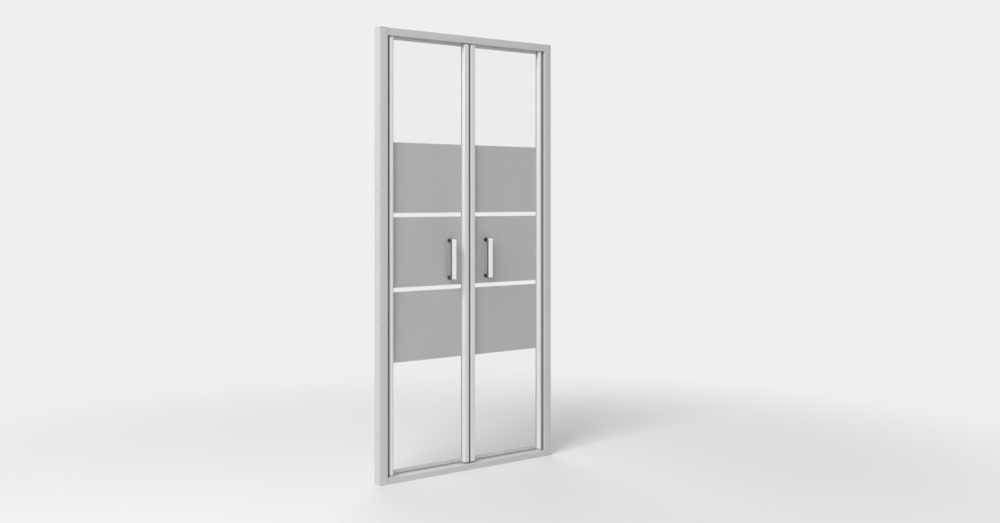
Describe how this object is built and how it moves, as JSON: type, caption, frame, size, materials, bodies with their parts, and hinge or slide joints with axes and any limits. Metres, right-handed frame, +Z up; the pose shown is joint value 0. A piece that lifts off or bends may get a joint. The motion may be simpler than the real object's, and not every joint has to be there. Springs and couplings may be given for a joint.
{
  "type": "shower door",
  "caption": "Framed niche shower door with paired glass leaves that swing outwards on pivots and meet at magnetic seals, with frosted bands and pull handles.",
  "frame": {"origin": "middle of the sill's underside, in the middle plane of the closed glass", "axes": "+X across the niche to the right as seen from the room, -Y out towards the room, +Z up"},
  "size_m": [0.975, 0.0655, 1.95],
  "materials": {
    "white_paint": "white powder coat on aluminium, satin",
    "white_plastic": "moulded white caps, semi-gloss",
    "clear_glass": "clear toughened glass, polished edges",
    "frosted_glass": "fine white frosting on the glass's outer face, matt",
    "chrome": "polished chrome plate",
    "steel": "stainless steel, bright",
    "dark_rubber": "dark grey extruded seal, matt",
    "dark_plastic": "dark grey moulded plastic, semi-gloss",
    "magnet_seal": "grey magnetic strip, satin",
    "clear_seal": "clear to milky soft extrusion, satin",
    "nylon": "pale grey moulded nylon"
  },
  "bodies": {
    "frame": {"left_wall_channel": "white_paint", "right_wall_channel": "white_paint", "left_jamb": "white_paint", "right_jamb": "white_paint", "head_rail": "white_paint", "sill_rail": "white_paint", "left_top_cap": "white_plastic", "right_top_cap": "white_plastic", "left_clamp_screws": "steel", "right_clamp_screws": "steel", "left_screw_covers": "white_plastic", "right_screw_covers": "white_plastic", "corner_screws": "steel", "left_upper_bearing": "nylon", "right_upper_bearing": "nylon", "left_lower_bearing": "nylon", "right_lower_bearing": "nylon", "left_jamb_seal": "dark_rubber", "right_jamb_seal": "dark_rubber", "head_stop_strip": "clear_seal", "sill_upstand": "clear_seal"},
    "left_leaf": {"left_glass": "clear_glass", "left_frosted_bands": "frosted_glass", "left_hinge_stile": "white_paint", "left_meeting_stile": "white_paint", "left_hinge_gasket": "clear_seal", "left_meeting_gasket": "clear_seal", "left_magnet_strip": "magnet_seal", "left_drip_seal": "clear_seal", "left_top_seal": "clear_seal", "left_upper_pin": "steel", "left_lower_pin": "steel", "left_upper_plug": "nylon", "left_lower_plug": "nylon", "left_meeting_caps": "white_plastic", "left_handle": "chrome", "left_handle_spacers": "dark_plastic", "left_handle_sleeves": "nylon", "left_backplates": "chrome", "left_handle_screws": "steel"},
    "right_leaf": {"right_glass": "clear_glass", "right_frosted_bands": "frosted_glass", "right_hinge_stile": "white_paint", "right_meeting_stile": "white_paint", "right_hinge_gasket": "clear_seal", "right_meeting_gasket": "clear_seal", "right_magnet_strip": "magnet_seal", "right_drip_seal": "clear_seal", "right_top_seal": "clear_seal", "right_upper_pin": "steel", "right_lower_pin": "steel", "right_upper_plug": "nylon", "right_lower_plug": "nylon", "right_meeting_caps": "white_plastic", "right_handle": "chrome", "right_handle_spacers": "dark_plastic", "right_handle_sleeves": "nylon", "right_backplates": "chrome", "right_handle_screws": "steel"}
  },
  "joints": [
    {"name": "left_leaf_hinge", "type": "hinge", "parent": "frame", "child": "left_leaf", "pos_m": [-0.424, -0.013, 0], "axis": [0, 0, -1], "range_deg": [0, 90]},
    {"name": "right_leaf_hinge", "type": "hinge", "parent": "frame", "child": "right_leaf", "pos_m": [0.424, -0.013, 0], "axis": [0, 0, 1], "range_deg": [0, 90]}
  ]
}
